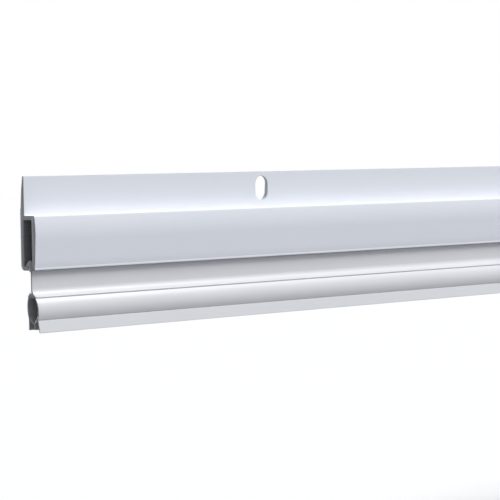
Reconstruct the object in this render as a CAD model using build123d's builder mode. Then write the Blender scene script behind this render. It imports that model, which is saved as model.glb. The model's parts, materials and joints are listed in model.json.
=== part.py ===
"""Door weatherstrip: a surface-mounted carrier rail for the foot of a door, and the sweep that floats in it.

Millimetres. X runs along the strip, +Y points into the door and +Z is up, so the face that a person sees
looks along -Y. The origin is the middle of the flat seat that bears on the door. Sections are drawn as
(out, up): out is the distance in front of the door, up is the height above the foot of the carrier.
"""
import os

from build123d import *

# carrier: extruded aluminium box channel, open at its foot by a throat between the lip and the front wall
length = 914.4
channel_height = 17.8
back_wall = 1.6
front_wall = 1.5
roof_wall = 1.4
lip_wall = 1.4
lip_length = 2.0
throat_width = 2.2
front_wall_lift = 0.2
heel_radius = 1.6
shoulder_radius = 0.3
inner_radius = 0.5

# carrier: the front wall's face leans out as it rises, rolls back to the shoulder, and rolls under to a drip bead
face_lean = 0.4
crown_height = 8.0
crown_setback = 0.5
toe_height = 2.5
toe_setback = 0.2
drip_bead_height = 0.7
drip_bead_reach = 0.08

# carrier: tapered screw flange, relieved from the door above the seat
flange_root = 1.8
flange_tip = 0.7
flange_relief = 0.2
flange_bow = 0.15
flange_cove = 0.15
seat_rise = 2.3

# carrier: punched screw slots, taller than wide so that the strip can be set to the floor
slot_width = 6.0
slot_height = 8.7
slot_edge_above = 1.7
slot_land_below = 2.5
slot_count = 5
slot_from_end = 108.0

# sweep: extruded vinyl blade, hung on the carrier's lip by its hook
run_clearance = 0.3
hang_clearance = 0.05
blade_wall = 0.6
blade_drop = 7.25
neck_taper = 0.7
hook_overlap = 0.9
hook_nose = 0.55
hook_height = 1.85
hook_round = 0.5
blade_cove = 2.2

# sweep: hollow bulb under the blade, with an eave that overhangs its front wall
bulb_wall = 0.5
bulb_height = 6.9
back_edge_behind = 1.5
belly_behind = 2.15
belly_front = 3.2
crease_front = 2.85
crown_bevel = 0.45
eave_reach = 1.9
eave_drop = 1.25
eave_wall = 0.3
groove_depth = 0.3
keel_drop = 1.9
keel_front = 0.7
cavity_round = 0.9

# sweep: wiping fins below the bulb
fin_root = 0.55
fin_tip = 0.4
back_fin_length = 3.6
middle_fin_length = 1.55
middle_fin_lean = 0.4
front_fin_length = 4.4
front_fin_flare = 0.75

# levels and places on the carrier that follow from the sizes above
carrier_height = channel_height + slot_land_below + slot_height + slot_edge_above
slot_level = carrier_height - slot_edge_above - slot_height / 2
slot_pitch = (length - 2 * slot_from_end) / (slot_count - 1)
flange_front = flange_relief + flange_root
flange_back_tip = flange_front - flange_tip
seat_top = channel_height + seat_rise
seat_middle = (heel_radius + seat_top) / 2
roof = channel_height - roof_wall
lip_end = back_wall + lip_length
channel_front = lip_end + throat_width
toe_front = channel_front + front_wall
bead_front = toe_front - toe_setback
bead_top = front_wall_lift + drip_bead_height
toe_top = bead_top + toe_height
crown_front = toe_front + face_lean
crown_foot = channel_height - crown_height
shoulder_front = crown_front - crown_setback
face_slope = (face_lean, crown_foot - toe_top)

# the sections' plane is the strip's right-hand end, seen from the far side; the slots are drawn on the door plane
section_plane = Plane(origin=(length / 2, 0, -seat_middle), x_dir=(0, -1, 0), z_dir=(-1, 0, 0))
door_plane = Plane(origin=(0, 0, -seat_middle), x_dir=(1, 0, 0), z_dir=(0, -1, 0))


def corner(section, out, up):
    """The corner of a section that lies at (out, up)."""
    return section.vertices().sort_by_distance((out, up, 0))[0]


# carrier: one extrusion, with the screw slots punched through its flange
with BuildPart() as carrier:
    with BuildSketch(section_plane) as carrier_section:
        with BuildLine():
            Polyline(
                (0, seat_top),
                (0, 0),
                (lip_end, 0),
                (lip_end, lip_wall),
                (back_wall, lip_wall),
                (back_wall, roof),
                (channel_front, roof),
                (channel_front, front_wall_lift),
                (bead_front, front_wall_lift),
            )
            ThreePointArc(
                (bead_front, front_wall_lift),
                (bead_front + drip_bead_reach, (front_wall_lift + bead_top) / 2),
                (bead_front, bead_top),
            )
            TangentArc((toe_front, toe_top), (bead_front, bead_top), tangent=(-face_slope[0], -face_slope[1]))
            Line((toe_front, toe_top), (crown_front, crown_foot))
            TangentArc((crown_front, crown_foot), (shoulder_front, channel_height), tangent=face_slope)
            Polyline(
                (shoulder_front, channel_height),
                (flange_front, channel_height),
                (flange_front, carrier_height),
                (flange_back_tip, carrier_height),
            )
            ThreePointArc(
                (flange_back_tip, carrier_height),
                ((flange_relief + flange_back_tip) / 2 - flange_bow, (carrier_height + seat_top) / 2),
                (flange_relief, seat_top),
            )
            Line((flange_relief, seat_top), (0, seat_top))
        make_face()
        fillet(corner(carrier_section, 0, 0), heel_radius)
        fillet(corner(carrier_section, shoulder_front, channel_height), shoulder_radius)
        fillet(corner(carrier_section, flange_front, channel_height), flange_cove)
        for out, up in ((back_wall, lip_wall), (back_wall, roof), (channel_front, roof)):
            fillet(corner(carrier_section, out, up), inner_radius)
    extrude(amount=length)
    with BuildSketch(door_plane):
        with Locations((0, slot_level)):
            with GridLocations(slot_pitch, 0, slot_count, 1):
                SlotOverall(slot_height, slot_width, rotation=90)
    extrude(amount=crown_front, mode=Mode.SUBTRACT)

# levels and places on the sweep, which hangs at the bottom of its travel with its hook on the carrier's lip
blade_front = channel_front - run_clearance
blade_back = blade_front - blade_wall
neck_back = lip_end + run_clearance
hook_seat = lip_wall + hang_clearance
hook_top = hook_seat + hook_height
hook_tip = lip_end - hook_overlap

crown_level = -blade_drop
eave_level = crown_level - eave_drop
cavity_top = eave_level - eave_wall
belly_level = cavity_top - bulb_height / 2
crease_level = cavity_top - bulb_height
eave_front = blade_front + eave_reach
groove_front = eave_front - groove_depth
bulb_front = blade_front + belly_front
bulb_back = blade_back - belly_behind
back_edge = blade_back - back_edge_behind
crease = (blade_front + crease_front, crease_level)
keel = (blade_front + keel_front, crease_level - keel_drop)

# each fin as the middle of its root and of its tip
fins = [
    ((crease[0] - fin_root / 2, crease_level), (crease[0] + front_fin_flare, crease_level - front_fin_length)),
    ((keel[0], keel[1] + bulb_wall), (keel[0] + middle_fin_lean, keel[1] - middle_fin_length)),
    ((back_edge + fin_root / 2, crease_level), (back_edge + fin_root / 2, crease_level - back_fin_length)),
]

# sweep: one extrusion of hook, blade, hollow bulb and fins
with BuildPart() as sweep:
    with BuildSketch(section_plane) as sweep_section:
        # bulb, solid at first
        with BuildLine():
            Polyline(
                (back_edge, crown_level - crown_bevel),
                (back_edge + crown_bevel, crown_level),
                (blade_front, crown_level),
                (eave_front, eave_level),
                (eave_front, cavity_top),
                (groove_front, cavity_top),
            )
            ThreePointArc((groove_front, cavity_top), (bulb_front, belly_level), crease)
            Polyline(crease, keel, (back_edge, crease_level))
            ThreePointArc(
                (back_edge, crease_level),
                (bulb_back, belly_level),
                (back_edge, crown_level - crown_bevel),
            )
        make_face()
        # blade and hook
        with BuildLine():
            Polyline(
                (blade_front, crown_level),
                (blade_front, hook_top),
                (neck_back, hook_top),
                (hook_tip, hook_seat + hook_nose),
                (hook_tip, hook_seat),
                (neck_back, hook_seat),
                (neck_back, 0),
                (blade_back, -neck_taper),
                (blade_back, crown_level),
                close=True,
            )
        make_face()
        for root, tip in fins:
            with BuildLine():
                Polyline(
                    (root[0] + fin_root / 2, root[1]),
                    (tip[0] + fin_tip / 2, tip[1]),
                    (tip[0] - fin_tip / 2, tip[1]),
                    (root[0] - fin_root / 2, root[1]),
                    close=True,
                )
            make_face()
        fillet(corner(sweep_section, blade_front, crown_level), blade_cove)
        fillet(corner(sweep_section, blade_front, hook_top), hook_round)
        # the bulb's hollow, one wall inside its outline, with a keel that folds as the bulb is pressed
        with BuildLine():
            Line((back_edge + bulb_wall, cavity_top), (groove_front - bulb_wall, cavity_top))
            ThreePointArc(
                (groove_front - bulb_wall, cavity_top),
                (bulb_front - bulb_wall, belly_level),
                (crease[0] - bulb_wall, crease_level + bulb_wall),
            )
            Polyline(
                (crease[0] - bulb_wall, crease_level + bulb_wall),
                (keel[0], keel[1] + bulb_wall),
                (back_edge + bulb_wall, crease_level + bulb_wall),
            )
            ThreePointArc(
                (back_edge + bulb_wall, crease_level + bulb_wall),
                (bulb_back + bulb_wall, belly_level),
                (back_edge + bulb_wall, cavity_top),
            )
        make_face(mode=Mode.SUBTRACT)
        for out in (back_edge + bulb_wall, groove_front - bulb_wall):
            fillet(corner(sweep_section, out, cavity_top), cavity_round)
    extrude(amount=length)

carrier.part.label = "carrier"
sweep.part.label = "sweep"

os.makedirs("parts", exist_ok=True)
export_step(carrier.part, "parts/carrier.step")
export_step(sweep.part, "parts/sweep.step")
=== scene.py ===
import cmath
import json
import math

import bmesh
import bpy
from mathutils import Matrix, Vector
from mathutils.geometry import intersect_line_line_2d


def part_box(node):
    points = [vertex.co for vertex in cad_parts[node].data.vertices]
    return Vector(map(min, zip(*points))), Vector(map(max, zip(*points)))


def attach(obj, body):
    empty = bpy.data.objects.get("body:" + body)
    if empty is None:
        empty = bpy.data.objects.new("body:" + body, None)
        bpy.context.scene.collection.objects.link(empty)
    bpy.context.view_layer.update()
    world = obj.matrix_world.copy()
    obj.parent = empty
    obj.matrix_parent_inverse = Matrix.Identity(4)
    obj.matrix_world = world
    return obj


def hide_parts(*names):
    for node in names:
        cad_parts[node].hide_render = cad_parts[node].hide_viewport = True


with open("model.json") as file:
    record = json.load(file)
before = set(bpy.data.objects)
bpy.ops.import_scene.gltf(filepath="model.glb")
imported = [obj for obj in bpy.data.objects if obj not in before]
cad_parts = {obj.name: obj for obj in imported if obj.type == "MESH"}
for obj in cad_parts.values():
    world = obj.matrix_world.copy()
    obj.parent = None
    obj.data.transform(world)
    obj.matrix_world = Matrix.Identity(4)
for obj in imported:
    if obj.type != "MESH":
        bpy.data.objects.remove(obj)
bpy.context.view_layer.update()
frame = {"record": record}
scene = bpy.context.scene
scene.view_settings.view_transform = "Standard"


# Carrier rail: an aluminium extrusion with a box channel, and above it a flange that is screwed to the door.
# It was punched with its screw slots and painted white in a long length, then sawn to size.
# Its section is drawn in millimetres as (out, up): out from the door's face, up from the foot of the rail.
mm = 0.001
carrier_low, carrier_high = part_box("carrier")
strip_start = carrier_low.x
strip_end = carrier_high.x
foot_level = carrier_low.z
carrier_height = (carrier_high.z - foot_level) / mm
channel_height = 17.8
front_wall = 1.5
channel_front = 5.8
back_wall = 1.6
roof = 16.4
lip_end = 3.6
lip_wall = 1.4
front_wall_lift = 0.2
heel_radius = 1.6
inner_radius = 0.5
shoulder_radius = 0.5
face_lean = 0.4
crown_height = 8.0
crown_setback = 0.5
crown_facets = 12
toe_height = 2.5
toe_setback = 0.26
toe_facets = 8
drip_bead_height = 0.7
drip_bead_reach = 0.04
drip_bead_facets = 10
flange_front = 2.0
flange_tip = 0.7
flange_relief = 0.2
flange_bow = 0.15
flange_back_facets = 12
flange_cove = 0.15
seat_top = 20.1
eased_edge = 0.18
fine_edge = eased_edge / 2
saw_burr = 0.1

toe_front = channel_front + front_wall
bead_front = toe_front - toe_setback
bead_top = front_wall_lift + drip_bead_height
toe_top = bead_top + toe_height
crown_front = toe_front + face_lean
crown_foot = channel_height - crown_height
crown_slope = face_lean / (crown_foot - toe_top)
shoulder_front = crown_front - crown_setback
flange_back_tip = flange_front - flange_tip


def arc(start, middle, end, steps):
    """The corners between start and end on the round stretch that runs through middle."""
    a, b, c = (complex(*point) for point in (start, middle, end))
    ratio = (c - a) / (b - a)
    centre = a + (b - a) * (ratio - abs(ratio) ** 2) / (2j * ratio.imag)
    turn = cmath.phase((c - centre) / (a - centre))
    points = [centre + (a - centre) * cmath.exp(1j * turn * step / steps) for step in range(1, steps)]
    return [(point.real, point.imag, 0) for point in points]


def roll(start, slope, end, steps):
    """The corners on a stretch that leaves start at a slope of out to up, and bends from there to end."""
    rise = end[1] - start[1]
    lean = slope * rise
    bend = end[0] - start[0] - lean
    shares = [step / steps for step in range(1, steps)]
    return [(start[0] + lean * share + bend * share ** 2, start[1] + rise * share, 0) for share in shares]


def rounded(corners, facet=math.radians(9)):
    """The closed outline through corners of (out, up, radius), with an arc wherever a radius is given."""
    outline = []
    for index, (out, up, radius) in enumerate(corners):
        corner = Vector((out, up))
        if not radius:
            outline.append(corner)
            continue
        before = (Vector(corners[index - 1][:2]) - corner).normalized()
        after = (Vector(corners[(index + 1) % len(corners)][:2]) - corner).normalized()
        opening = before.angle(after)
        run = radius / math.tan(opening / 2)
        centre = corner + (before + after).normalized() * radius / math.sin(opening / 2)
        first = corner + before * run - centre
        turn = first.angle_signed(corner + after * run - centre)
        steps = max(2, math.ceil(abs(turn) / facet))
        outline += [centre + Matrix.Rotation(-turn * step / steps, 2) @ first for step in range(steps + 1)]
    return outline


def inset(outline, depth):
    """The outline drawn in by depth, towards the material on its left-hand side."""
    drawn_in = []
    for index, point in enumerate(outline):
        along = (outline[(index + 1) % len(outline)] - outline[index - 1]).normalized()
        drawn_in.append(point + Vector((-along.y, along.x)) * depth)
    return drawn_in


def station(outline, along):
    """A section's outline set at a place along the strip, in metres in the row's frame."""
    return [Vector((along, -point.x * mm, foot_level + point.y * mm)) for point in outline]


def skin(name, tubes):
    """A closed mesh piece through each tube's rings, with one flat cap across the tubes at either end."""
    mesh = bmesh.new()
    caps = ([], [])
    for rings in tubes:
        loops = [[mesh.verts.new(point) for point in ring] for ring in rings]
        for near, far in zip(loops, loops[1:]):
            for index in range(len(near)):
                mesh.faces.new((near[index - 1], near[index], far[index], far[index - 1]))
        for cap, loop in zip(caps, (loops[0], loops[-1])):
            cap += [mesh.edges.get((loop[index - 1], loop[index])) for index in range(len(loop))]
    for cap in caps:
        bmesh.ops.triangle_fill(mesh, edges=cap, use_beauty=True)
    bmesh.ops.recalc_face_normals(mesh, faces=mesh.faces)
    data = bpy.data.meshes.new(name)
    mesh.to_mesh(data)
    mesh.free()
    piece = bpy.data.objects.new(name, data)
    scene.collection.objects.link(piece)
    return piece


carrier_outline = rounded([
    (0, seat_top, fine_edge),
    (0, 0, heel_radius),
    (lip_end, 0, eased_edge),
    (lip_end, lip_wall, eased_edge),
    (back_wall, lip_wall, inner_radius),
    (back_wall, roof, inner_radius),
    (channel_front, roof, inner_radius),
    (channel_front, front_wall_lift, eased_edge),
    (bead_front, front_wall_lift, 0),
    *arc(
        (bead_front, front_wall_lift),
        (bead_front + drip_bead_reach, (front_wall_lift + bead_top) / 2),
        (bead_front, bead_top),
        drip_bead_facets,
    ),
    (bead_front, bead_top, 0),
    *reversed(roll((toe_front, toe_top), crown_slope, (bead_front, bead_top), toe_facets)),
    (toe_front, toe_top, 0),
    (crown_front, crown_foot, 0),
    *roll((crown_front, crown_foot), crown_slope, (shoulder_front, channel_height), crown_facets),
    (shoulder_front, channel_height, shoulder_radius),
    (flange_front, channel_height, flange_cove),
    (flange_front, carrier_height, eased_edge),
    (flange_back_tip, carrier_height, fine_edge),
    *arc(
        (flange_back_tip, carrier_height),
        ((flange_relief + flange_back_tip) / 2 - flange_bow, (carrier_height + seat_top) / 2),
        (flange_relief, seat_top),
        flange_back_facets,
    ),
    (flange_relief, seat_top, 0),
])
carrier_rail = skin("carrier_rail", [[
    station(inset(carrier_outline, saw_burr), strip_start),
    station(carrier_outline, strip_start + saw_burr * mm),
    station(carrier_outline, strip_end - saw_burr * mm),
    station(inset(carrier_outline, saw_burr), strip_end),
]])

# Screw slots: oblong holes, taller than wide, that a press punched through the flange.
# The die drew the metal in at their front rim, and the paint then covered the rim and the sheared wall.
slot_rim = 0.12
slot_overcut = 1.0
slot_facets = 64
half_facet = math.pi / slot_facets
for mount in frame["record"]["mounts"]:
    if mount["kind"] != "bolt_pattern":
        continue
    along, _, level = mount["pos_m"]
    half_width = mount["dims"]["hole_r_mm"]
    half_straight = mount["dims"]["slot_length_mm"] / 2 - half_width
    slot_outline = []
    for step in range(slot_facets):
        turn = half_facet + math.tau * step / slot_facets
        rise = half_width * math.sin(turn) + math.copysign(half_straight, math.sin(turn))
        slot_outline.append(Vector((half_width * math.cos(turn), rise)))
    punch_rings = []
    for out, widening in (
        (flange_front + slot_overcut, slot_rim + slot_overcut),
        (flange_front - slot_rim, 0),
        (-slot_overcut, 0),
    ):
        outline = inset(slot_outline, -widening)
        punch_rings.append([Vector((along + p.x * mm, -out * mm, level + p.y * mm)) for p in outline])
    punch = skin("punch", [punch_rings])
    cut = carrier_rail.modifiers.new("slot", "BOOLEAN")
    cut.object = punch
    cut.solver = "EXACT"
    depsgraph = bpy.context.evaluated_depsgraph_get()
    punched = bpy.data.meshes.new_from_object(carrier_rail.evaluated_get(depsgraph))
    carrier_rail.modifiers.clear()
    carrier_rail.data = punched
    bpy.data.objects.remove(punch)
carrier_rail.data.name = "carrier_rail"


def smooth_rounds(piece, sharpest=math.radians(50), flat_weight=100):
    """Shades the rounds smooth and keeps flat faces flat beside them."""
    piece.data.polygons.foreach_set("use_smooth", [True] * len(piece.data.polygons))
    piece.data.set_sharp_from_angle(angle=sharpest)
    weighted = piece.modifiers.new("flat_faces_stay_flat", "WEIGHTED_NORMAL")
    weighted.keep_sharp = True
    weighted.weight = flat_weight


smooth_rounds(carrier_rail)
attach(carrier_rail, "carrier")
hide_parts("carrier")


def linear(hex_colour):
    """A colour written as sRGB hex, as the linear values that a shader takes."""
    parts = [int(hex_colour[place:place + 2], 16) / 255 for place in (1, 3, 5)]
    return [part / 12.92 if part <= 0.04045 else ((part + 0.055) / 1.055) ** 2.4 for part in parts] + [1.0]


def emptied_tree(owner):
    """The node tree of a material or of the world, emptied for nodes of its own."""
    owner.use_nodes = True
    owner.node_tree.nodes.clear()
    return owner.node_tree


def add_node(tree, kind, inputs=None, **settings):
    """Adds a node, sets its own settings and fills its inputs with values or with other nodes' outputs."""
    made = tree.nodes.new(kind)
    for name, value in settings.items():
        setattr(made, name, value)
    for name, value in (inputs or {}).items():
        if isinstance(value, bpy.types.NodeSocket):
            tree.links.new(value, made.inputs[name])
        else:
            made.inputs[name].default_value = value
    return made


def die_lines(tree, place, width, length):
    """The long faint lines that a die leaves on an extrusion, as a noise stretched along the strip."""
    stretched = add_node(tree, "ShaderNodeVectorMath", {
        0: place,
        1: (1 / (length * mm), 1 / (width * mm), 1 / (width * mm)),
    }, operation="MULTIPLY")
    lines = add_node(tree, "ShaderNodeTexNoise", {
        "Vector": stretched.outputs["Vector"],
        "Scale": 1.0,
        "Detail": 3.0,
    })
    return lines.outputs["Fac"]


# Satin polyester paint, sprayed and baked: cool white with the faintest clouds, a soft sheen, a slight
# orange peel, and the die's long lines just showing through. The real lines are about a tenth
# of a millimetre wide, and are drawn coarser so that they show.
paint = bpy.data.materials.new("baked satin polyester paint")
tree = emptied_tree(paint)
place = add_node(tree, "ShaderNodeTexCoord").outputs["Object"]
peel_cell = 1.4
peel_height = 0.02
paint_line_width = 0.5
paint_line_length = 260.0
paint_line_height = 0.02
cloud_size = 90.0
glossiest_paint = 0.36
dullest_paint = 0.48
peel = add_node(tree, "ShaderNodeTexNoise", {
    "Vector": place,
    "Scale": 1 / (peel_cell * mm),
    "Detail": 2.0,
})
paint_lines = die_lines(tree, place, paint_line_width, paint_line_length)
cloud = add_node(tree, "ShaderNodeTexNoise", {
    "Vector": place,
    "Scale": 1 / (cloud_size * mm),
    "Detail": 2.0,
})
paint_tint = add_node(tree, "ShaderNodeMix", {
    "Factor": cloud.outputs["Fac"],
    "A": linear("#E4E7ED"),
    "B": linear("#E8EAEF"),
}, data_type="RGBA")
paint_sheen = add_node(tree, "ShaderNodeMapRange", {
    "Value": paint_lines,
    "To Min": glossiest_paint,
    "To Max": dullest_paint,
})
peel_bump = add_node(tree, "ShaderNodeBump", {
    "Strength": 0.25,
    "Distance": peel_height * mm,
    "Height": peel.outputs["Fac"],
})
line_bump = add_node(tree, "ShaderNodeBump", {
    "Strength": 0.2,
    "Distance": paint_line_height * mm,
    "Height": paint_lines,
    "Normal": peel_bump.outputs["Normal"],
})
shader = add_node(tree, "ShaderNodeBsdfPrincipled", {
    "Base Color": paint_tint.outputs["Result"],
    "Roughness": paint_sheen.outputs["Result"],
    "Normal": line_bump.outputs["Normal"],
    "IOR": 1.5,
})
add_node(tree, "ShaderNodeOutputMaterial", {"Surface": shader.outputs["BSDF"]})

# Bare aluminium, as the saw and the die left it: dull mottled grey, with fine arcs from the saw's teeth.
# The saw's real marks are about a tenth of a millimetre apart, and are drawn coarser so that they show.
# The saw's centre lies in front of the strip and below it, so the arcs slant across the section.
# Its grey is set darker than sawn aluminium is: painted shade for the sawn ends and the channel's inside,
# which face away from the light.
bare = bpy.data.materials.new("saw-cut bare aluminium")
tree = emptied_tree(bare)
place = add_node(tree, "ShaderNodeTexCoord").outputs["Object"]
saw_in_front = 75.0
saw_below = 100.0
saw_mark = 0.45
saw_mark_height = 0.05
grain_size = 0.6
glossiest_metal = 0.6
dullest_metal = 0.75
flattened = add_node(tree, "ShaderNodeVectorMath", {
    0: place,
    1: (0.0, 1.0, 1.0),
}, operation="MULTIPLY")
from_saw = add_node(tree, "ShaderNodeVectorMath", {
    0: flattened.outputs["Vector"],
    1: (0.0, -saw_in_front * mm, -saw_below * mm),
}, operation="DISTANCE")
saw_turns = add_node(tree, "ShaderNodeMath", {
    0: from_saw.outputs["Value"],
    1: 1 / (saw_mark * mm),
}, operation="MULTIPLY")
saw_marks = add_node(tree, "ShaderNodeTexNoise", {
    "W": saw_turns.outputs["Value"],
    "Scale": 1.0,
    "Detail": 3.0,
}, noise_dimensions="1D")
grain = add_node(tree, "ShaderNodeTexNoise", {
    "Vector": place,
    "Scale": 1 / (grain_size * mm),
    "Detail": 3.0,
})
# Painted shade: both greys are darker than the bare metal itself, and stand in for the shade on the ends and
# inside the channel.
metal_tint_with_painted_shade = add_node(tree, "ShaderNodeMix", {
    "Factor": saw_marks.outputs["Fac"],
    "A": linear("#95979A"),
    "B": linear("#ABADAF"),
}, data_type="RGBA")
metal_sheen = add_node(tree, "ShaderNodeMapRange", {
    "Value": grain.outputs["Fac"],
    "To Min": glossiest_metal,
    "To Max": dullest_metal,
})
saw_bump = add_node(tree, "ShaderNodeBump", {
    "Strength": 0.5,
    "Distance": saw_mark_height * mm,
    "Height": saw_marks.outputs["Fac"],
})
shader = add_node(tree, "ShaderNodeBsdfPrincipled", {
    "Base Color": metal_tint_with_painted_shade.outputs["Result"],
    "Metallic": 0.35,
    "Roughness": metal_sheen.outputs["Result"],
    "Normal": saw_bump.outputs["Normal"],
})
add_node(tree, "ShaderNodeOutputMaterial", {"Surface": shader.outputs["BSDF"]})

# The paint covers the outside and the slots; the sawn ends and the channel's inside are bare, and their
# darker grey is partly painted shade.
sawn_facing = 0.6
slack = 0.01
carrier_rail.data.materials.append(paint)
carrier_rail.data.materials.append(bare)
for face in carrier_rail.data.polygons:
    out = -face.center.y / mm
    up = (face.center.z - foot_level) / mm
    from_end = min(face.center.x - strip_start, strip_end - face.center.x)
    sawn = abs(face.normal.x) > sawn_facing and from_end < saw_burr * mm
    between_walls = back_wall - slack <= out <= channel_front + slack
    inside = between_walls and front_wall_lift < up <= roof + slack
    face.material_index = 1 if sawn or inside else 0


# Sweep: one soft vinyl extrusion that slides into the channel from its end and hangs on the lip by its hook.
# Below the rail it has a thin blade, a hollow bulb that folds at its keel, and three wiping fins.
# The bulb's front folds into the front fin at a narrow crease.
sweep_low, sweep_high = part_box("sweep")
hook_top = (sweep_high.z - foot_level) / mm
fin_foot = (sweep_low.z - foot_level) / mm
run_clearance = 0.3
hang_clearance = 0.05
blade_wall = 0.6
blade_drop = 7.25
neck_taper = 0.7
hook_overlap = 0.9
hook_nose = 0.55
hook_round = 0.5
blade_cove = 2.8
bulb_wall = 0.5
bulb_height = 6.9
bulb_back_facets = 14
bulb_front_facets = 18
back_edge_behind = 1.5
belly_behind = 2.15
belly_front = 3.2
crease_front = 2.85
crease_low = 0.3
crease_gap = 0.22
crease_depth = 0.36
crown_bevel = 0.45
eave_reach = 1.9
eave_drop = 1.25
eave_wall = 0.3
groove_depth = 0.3
keel_drop = 1.9
keel_front = 0.7
cavity_round = 0.9
cavity_facets = 8
fin_root = 0.55
fin_tip = 0.4
back_fin_length = 3.6
middle_fin_length = 1.55
middle_fin_lean = 0.4
front_fin_flare = 0.75
soft_edge = 0.12
groove_edge = soft_edge / 2
crease_edge = soft_edge / 3
crease_bottom = soft_edge / 4
soft_root = 0.2
knife_burr = 0.06

blade_front = channel_front - run_clearance
blade_back = blade_front - blade_wall
neck_back = lip_end + run_clearance
hook_seat = lip_wall + hang_clearance
hook_tip = lip_end - hook_overlap
crown_level = -blade_drop
eave_level = crown_level - eave_drop
cavity_top = eave_level - eave_wall
belly_level = cavity_top - bulb_height / 2
crease_level = cavity_top - bulb_height
eave_front = blade_front + eave_reach
groove_front = eave_front - groove_depth
bulb_front = blade_front + belly_front
bulb_back = blade_back - belly_behind
back_edge = blade_back - back_edge_behind
bulb_top_back = crown_level - crown_bevel
crease = blade_front + crease_front
crease_mouth = crease_level - crease_low
bulb_foot = crease_mouth + crease_gap / 2
keel = blade_front + keel_front
keel_level = crease_level - keel_drop
cavity_back = back_edge + bulb_wall
cavity_front = groove_front - bulb_wall
cavity_foot = crease_level + bulb_wall
cavity_keel = keel_level + bulb_wall
cavity_crease = crease - bulb_wall


def fin_sides(root, tip):
    """A fin's back and front side, each from its foot inside the wall to its tip."""
    return [
        (Vector((root[0] + side * fin_root / 2, root[1])), Vector((tip[0] + side * fin_tip / 2, tip[1])))
        for side in (-1, 1)
    ]


keel_behind = (Vector((back_edge, crease_level)), Vector((keel, keel_level)))
keel_in_front = (Vector((keel, keel_level)), Vector((crease, crease_level)))
back_fin_middle = back_edge + fin_root / 2
back_fin = ((back_fin_middle, crease_level), (back_fin_middle, crease_level - back_fin_length))
middle_fin = ((keel, cavity_keel), (keel + middle_fin_lean, keel_level - middle_fin_length))
front_fin = ((crease - fin_root / 2, crease_level), (crease + front_fin_flare, fin_foot))
fin_outlines = []
for fin, wall_behind, wall_in_front in (
    (back_fin, None, keel_behind),
    (middle_fin, keel_behind, keel_in_front),
    (front_fin, keel_in_front, None),
):
    behind, in_front = fin_sides(*fin)
    if wall_behind:
        fin_outlines.append((*intersect_line_line_2d(*behind, *wall_behind), soft_root))
    fin_outlines += [(*behind[1], soft_edge), (*in_front[1], soft_edge)]
    if wall_in_front:
        fin_outlines.append((*intersect_line_line_2d(*in_front, *wall_in_front), soft_root))
front_side = fin_sides(*front_fin)[1]
front_fin_drop = (crease_low + crease_gap / 2) / (crease_level - fin_foot)
front_fin_head = front_side[0].lerp(front_side[1], front_fin_drop)

sweep_outline = rounded([
    (hook_tip, hook_seat + hook_nose, soft_edge),
    (hook_tip, hook_seat, soft_edge),
    (neck_back, hook_seat, soft_root),
    (neck_back, 0, soft_edge),
    (blade_back, -neck_taper, soft_edge),
    (blade_back, crown_level, soft_root),
    (back_edge + crown_bevel, crown_level, soft_edge),
    (back_edge, bulb_top_back, soft_edge),
    *arc(
        (back_edge, bulb_top_back),
        (bulb_back, belly_level),
        (back_edge, crease_level),
        bulb_back_facets,
    ),
    (back_edge, crease_level, 0),
    *fin_outlines,
    (*front_fin_head, crease_edge),
    (crease - crease_depth, crease_mouth, crease_bottom),
    (crease, bulb_foot, crease_edge),
    *arc(
        (crease, bulb_foot),
        (bulb_front, belly_level),
        (groove_front, cavity_top),
        bulb_front_facets,
    ),
    (groove_front, cavity_top, groove_edge),
    (eave_front, cavity_top, groove_edge),
    (eave_front, eave_level, soft_edge),
    (blade_front, crown_level, blade_cove),
    (blade_front, hook_top, hook_round),
    (neck_back, hook_top, soft_edge),
])
cavity_outline = rounded([
    (cavity_back, cavity_top, cavity_round),
    (cavity_front, cavity_top, cavity_round),
    *arc(
        (cavity_front, cavity_top),
        (bulb_front - bulb_wall, belly_level),
        (cavity_crease, cavity_foot),
        cavity_facets,
    ),
    (cavity_crease, cavity_foot, soft_root),
    (keel, cavity_keel, soft_root),
    (cavity_back, cavity_foot, soft_root),
    *arc(
        (cavity_back, cavity_foot),
        (bulb_back + bulb_wall, belly_level),
        (cavity_back, cavity_top),
        cavity_facets,
    ),
])

# The blade hangs true in the channel, but the soft bulb and fins lie a little in and out along the strip.
station_pitch = 9.0
most_sway = 0.14
long_wave = 310.0
long_wave_start = 1.1
long_wave_share = 0.32
short_wave = 83.0
short_wave_share = 0.18


def lie(outline, along):
    """The outline as the soft section lies at a place along the strip, drawn in more the lower it hangs."""
    turns = along / mm * math.tau
    long_sway = long_wave_share * (1 + math.sin(turns / long_wave + long_wave_start))
    short_sway = short_wave_share * (1 + math.sin(turns / short_wave))
    sway = most_sway * (long_sway + short_sway)
    lain = []
    for point in outline:
        drop = min(max((crown_level - point.y) / (crown_level - fin_foot), 0), 1)
        lain.append(point - Vector((sway * drop ** 2, 0)))
    return lain


strip_length = strip_end - strip_start
station_count = round(strip_length / (station_pitch * mm))
places = [strip_start + strip_length * step / station_count for step in range(station_count + 1)]
places[1:1] = [strip_start + knife_burr * mm]
places[-1:-1] = [strip_end - knife_burr * mm]
tubes = []
for outline in (sweep_outline, cavity_outline):
    rings = [station(lie(outline, along), along) for along in places]
    for end, along in ((0, strip_start), (-1, strip_end)):
        rings[end] = station(lie(inset(outline, knife_burr), along), along)
    tubes.append(rings)
vinyl_sweep = skin("vinyl_sweep", tubes)
smooth_rounds(vinyl_sweep)
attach(vinyl_sweep, "sweep")
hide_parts("sweep")

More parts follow.
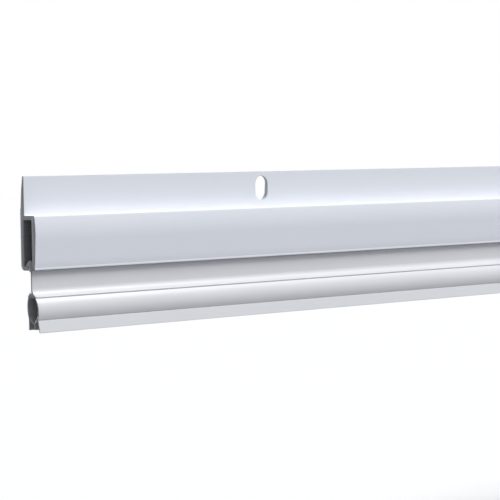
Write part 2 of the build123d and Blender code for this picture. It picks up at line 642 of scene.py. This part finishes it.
# Flexible vinyl as it leaves the die: neutral white in faint patches, a waxy sheen, and long faint lines.
# The real lines are about a tenth of a millimetre wide, and are drawn coarser so that they show.
vinyl = bpy.data.materials.new("extruded flexible vinyl")
tree = emptied_tree(vinyl)
place = add_node(tree, "ShaderNodeTexCoord").outputs["Object"]
vinyl_line_width = 0.7
vinyl_line_length = 400.0
vinyl_line_height = 0.03
vinyl_patch = 25.0
glossiest_vinyl = 0.27
dullest_vinyl = 0.37
vinyl_lines = die_lines(tree, place, vinyl_line_width, vinyl_line_length)
patches = add_node(tree, "ShaderNodeTexNoise", {
    "Vector": place,
    "Scale": 1 / (vinyl_patch * mm),
    "Detail": 2.0,
})
vinyl_tint = add_node(tree, "ShaderNodeMix", {
    "Factor": patches.outputs["Fac"],
    "A": linear("#D5D6D8"),
    "B": linear("#DADBDC"),
}, data_type="RGBA")
vinyl_sheen = add_node(tree, "ShaderNodeMapRange", {
    "Value": vinyl_lines,
    "To Min": glossiest_vinyl,
    "To Max": dullest_vinyl,
})
line_bump = add_node(tree, "ShaderNodeBump", {
    "Strength": 0.25,
    "Distance": vinyl_line_height * mm,
    "Height": vinyl_lines,
})
shader = add_node(tree, "ShaderNodeBsdfPrincipled", {
    "Base Color": vinyl_tint.outputs["Result"],
    "Roughness": vinyl_sheen.outputs["Result"],
    "Normal": line_bump.outputs["Normal"],
    "IOR": 1.53,
})
add_node(tree, "ShaderNodeOutputMaterial", {"Surface": shader.outputs["BSDF"]})
vinyl_sweep.data.materials.append(vinyl)


# Floor: a plain pale ground, far enough below the strip that only a soft shadow reaches it.
# The eye sees it white; it sends little light back up, as the dark room below a product table does.
floor_drop = 0.12
floor_reach = 8.0
floor_level = sweep_low.z - floor_drop
floor_data = bpy.data.meshes.new("floor")
floor_data.from_pydata(
    [(x * floor_reach, y * floor_reach, floor_level) for x, y in ((-1, -1), (1, -1), (1, 1), (-1, 1))],
    [],
    [(0, 1, 2, 3)],
)
floor = bpy.data.objects.new("floor", floor_data)
scene.collection.objects.link(floor)


def seen_directly(tree):
    """1 for rays from the eye, from gloss and through clear things, which see white, and 0 for others."""
    ray = add_node(tree, "ShaderNodeLightPath").outputs
    eye_or_gloss = add_node(tree, "ShaderNodeMath", {
        0: ray["Is Camera Ray"],
        1: ray["Is Glossy Ray"],
    }, operation="MAXIMUM")
    seen = add_node(tree, "ShaderNodeMath", {
        0: eye_or_gloss.outputs["Value"],
        1: ray["Is Transmission Ray"],
    }, operation="MAXIMUM")
    return seen.outputs["Value"]


# Matt ground: an even white without gloss, which keeps the strip's soft shadow.
ground = bpy.data.materials.new("matt pale ground")
tree = emptied_tree(ground)
ground_tint = add_node(tree, "ShaderNodeMix", {
    "Factor": seen_directly(tree),
    "A": linear("#404244"),
    "B": linear("#FFFFFF"),
}, data_type="RGBA")
shader = add_node(tree, "ShaderNodeBsdfDiffuse", {"Color": ground_tint.outputs["Result"]})
add_node(tree, "ShaderNodeOutputMaterial", {"Surface": shader.outputs["BSDF"]})
floor_data.materials.append(ground)


# Light: a pale dome, brightest low at the front right, one large soft source high at the front right,
# and a low soft one behind for the back. The background that the eye, metal and clear things see is white.
dome_level = 0.58
dome_slant = Vector((0.9, -1.0, -1.2))
key_level = 0.9
key_turn = math.radians(40)
key_elevation = math.radians(52)
key_width = math.radians(32)
rear_level = 0.85
rear_turn = math.radians(180)
rear_elevation = math.radians(5)
rear_width = math.radians(24)
world = bpy.data.worlds.new("studio")
scene.world = world
tree = emptied_tree(world)
toward = add_node(tree, "ShaderNodeVectorMath", {
    0: add_node(tree, "ShaderNodeTexCoord").outputs["Generated"],
    1: dome_slant,
}, operation="DOT_PRODUCT")
dome_strength = add_node(tree, "ShaderNodeMapRange", {
    "Value": toward.outputs["Value"],
    "From Min": -1.0,
    "From Max": 1.0,
    "To Min": 0.0,
    "To Max": dome_level * 2,
})
dome = add_node(tree, "ShaderNodeBackground", {
    "Color": linear("#F1F5FF"),
    "Strength": dome_strength.outputs["Result"],
})
white = add_node(tree, "ShaderNodeBackground", {
    "Color": linear("#FFFFFF"),
    "Strength": 1.0,
})
surround = add_node(tree, "ShaderNodeMixShader", {
    0: seen_directly(tree),
    1: dome.outputs["Background"],
    2: white.outputs["Background"],
})
add_node(tree, "ShaderNodeOutputWorld", {"Surface": surround.outputs["Shader"]})
for name, level, turn, elevation, width in (
    ("key", key_level, key_turn, key_elevation, key_width),
    ("rear_fill", rear_level, rear_turn, rear_elevation, rear_width),
):
    lamp_data = bpy.data.lights.new(name, "SUN")
    lamp_data.energy = level * math.pi
    lamp_data.angle = width
    lamp = bpy.data.objects.new(name, lamp_data)
    lamp.rotation_euler = (math.pi / 2 - elevation, 0, turn)
    scene.collection.objects.link(lamp)


# Camera: out beyond the strip's left-hand end and in front of the door, about level with the rail's top,
# turned to look along the strip. Its place, turn and lens follow the photograph's long edges and end view.
beyond_end = 0.41935
in_front_of_door = 0.54139
above_foot = 0.03446
view_turn = math.radians(44.008)
view_tip = math.radians(2.44)
view_roll = math.radians(-0.94)
lens_length = 150.84
sensor_width = 36
camera_data = bpy.data.cameras.new("camera")
camera_data.sensor_width = sensor_width
camera_data.lens = lens_length
camera = bpy.data.objects.new("camera", camera_data)
camera.matrix_world = (
    Matrix.Translation((strip_start - beyond_end, -in_front_of_door, foot_level + above_foot))
    @ Matrix.Rotation(-view_turn, 4, "Z")
    @ Matrix.Rotation(math.pi / 2 - view_tip, 4, "X")
    @ Matrix.Rotation(view_roll, 4, "Z")
)
scene.collection.objects.link(camera)
scene.camera = camera
